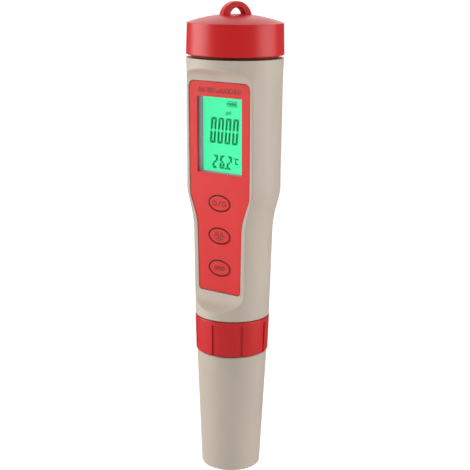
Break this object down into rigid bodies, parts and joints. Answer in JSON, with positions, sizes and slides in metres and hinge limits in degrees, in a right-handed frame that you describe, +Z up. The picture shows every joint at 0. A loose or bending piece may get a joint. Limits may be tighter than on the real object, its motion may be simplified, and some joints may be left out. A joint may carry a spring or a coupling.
{
  "type": "water quality probe",
  "caption": "Pen-type water tester with a lit display, oval keys, screw-on battery cap, lock ring and push-on cap over its electrodes.",
  "frame": {"origin": "centre of the protective cap's flat base, which the probe stands on", "axes": "+Z up along the body towards the battery cap, display facing -Y, +X to the right of the display"},
  "size_m": [0.038, 0.038, 0.188],
  "materials": {
    "beige_plastic": "fine moulded satin",
    "red_panel": "satin",
    "red_key": "satin",
    "red_plastic": "moulded semi-gloss",
    "clear_window": "clear polished",
    "lcd_glass": "lit display",
    "backlight": "green light guide",
    "grey_bezel": "grey moulded",
    "grey_rubber": "striped elastomer",
    "board_green": "solder mask",
    "chip_black": "moulded epoxy",
    "switch_black": "moulded",
    "switch_white": "moulded",
    "screw_steel": "machined",
    "frame_white": "moulded",
    "gold_contact": "gold plated",
    "seal_black": "moulded seal",
    "seal_brown": "moulded red-brown seal",
    "socket_black": "moulded",
    "ribbon_grey": "flat ribbon",
    "holder_black": "moulded",
    "spring_steel": "drawn wire",
    "cell_steel": "pressed can",
    "probe_plastic": "moulded satin",
    "ph_glass": "blown glass",
    "ceramic_white": "porous ceramic",
    "electrode_metal": "ground titanium",
    "sensor_steel": "polished"
  },
  "bodies": {
    "housing": {"main_housing": "beige_plastic", "face_panel": "red_panel", "display_window": "clear_window", "lcd_glass": "lcd_glass", "lcd_bezel": "grey_bezel", "lcd_backlight": "backlight", "zebra_strips": "grey_rubber", "circuit_board": "board_green", "board_chips": "chip_black", "tact_switches": "switch_black", "board_screws": "screw_steel", "inner_frame": "frame_white", "bay_contacts": "gold_contact", "neck_o_ring": "seal_brown", "probe_socket": "socket_black", "socket_contacts": "gold_contact", "socket_board": "board_green", "ribbon_cable": "ribbon_grey"},
    "power_button": {"power_key": "red_key", "power_plunger": "switch_white"},
    "hold_button": {"hold_key": "red_key", "hold_plunger": "switch_white"},
    "mode_button": {"mode_key": "red_key", "mode_plunger": "switch_white"},
    "battery_tray": {"battery_holder": "holder_black", "holder_spring": "spring_steel", "holder_contact": "cell_steel", "button_cell_1": "cell_steel", "button_cell_2": "cell_steel", "button_cell_3": "cell_steel", "button_cell_4": "cell_steel"},
    "cap_seal": {"cap_gasket": "seal_black"},
    "top_cap": {"battery_cap": "red_plastic"},
    "plug_ring": {"plug_seal": "seal_black"},
    "probe": {"probe_body": "probe_plastic", "plug_pins": "gold_contact", "ph_electrode": "ph_glass", "reference_junction": "ceramic_white", "ec_electrodes": "electrode_metal", "temperature_sensor": "sensor_steel", "cap_seal_ring": "seal_black"},
    "lock_nut": {"lock_nut": "red_plastic"},
    "cover": {"protective_cap": "beige_plastic"}
  },
  "joints": [
    {"name": "power_press", "type": "slide", "parent": "housing", "child": "power_button", "axis": [0, 0.9998, 0.0179], "range_m": [0, 0.00035], "stiffness_N_per_m": 600, "springref_m": -0.0004},
    {"name": "hold_press", "type": "slide", "parent": "housing", "child": "hold_button", "axis": [0, 0.9998, 0.0179], "range_m": [0, 0.00035], "stiffness_N_per_m": 600, "springref_m": -0.0004},
    {"name": "mode_press", "type": "slide", "parent": "housing", "child": "mode_button", "axis": [0, 0.9998, 0.0179], "range_m": [0, 0.00035], "stiffness_N_per_m": 600, "springref_m": -0.0004},
    {"name": "tray_draw", "type": "slide", "parent": "housing", "child": "battery_tray", "axis": [0, 0, 1], "range_m": [0, 0.045]},
    {"name": "cap_advance", "type": "slide", "parent": "battery_tray", "child": "cap_seal", "axis": [0, 0, 1], "range_m": [0, 0.0076]},
    {"name": "cap_turn", "type": "hinge", "parent": "cap_seal", "child": "top_cap", "pos_m": [0, 0, 0.17], "axis": [0, 0, 1], "range_deg": [0, 900]},
    {"name": "probe_draw", "type": "slide", "parent": "housing", "child": "plug_ring", "axis": [0, 0, -1], "range_m": [0, 0.03]},
    {"name": "probe_unscrew", "type": "slide", "parent": "plug_ring", "child": "probe", "axis": [0, 0, -1], "range_m": [0, 0.0061]},
    {"name": "nut_turn", "type": "hinge", "parent": "probe", "child": "lock_nut", "pos_m": [0, 0, 0.055], "axis": [0, 0, -1], "range_deg": [0, 720]},
    {"name": "cover_pull", "type": "slide", "parent": "probe", "child": "cover", "axis": [0, 0, -1], "range_m": [0, 0.052]}
  ],
  "couplings": [
    {"joint": "cap_advance", "follows": "cap_turn", "m_per_rad": 0.00047746},
    {"joint": "probe_unscrew", "follows": "nut_turn", "m_per_rad": 0.00047746}
  ]
}
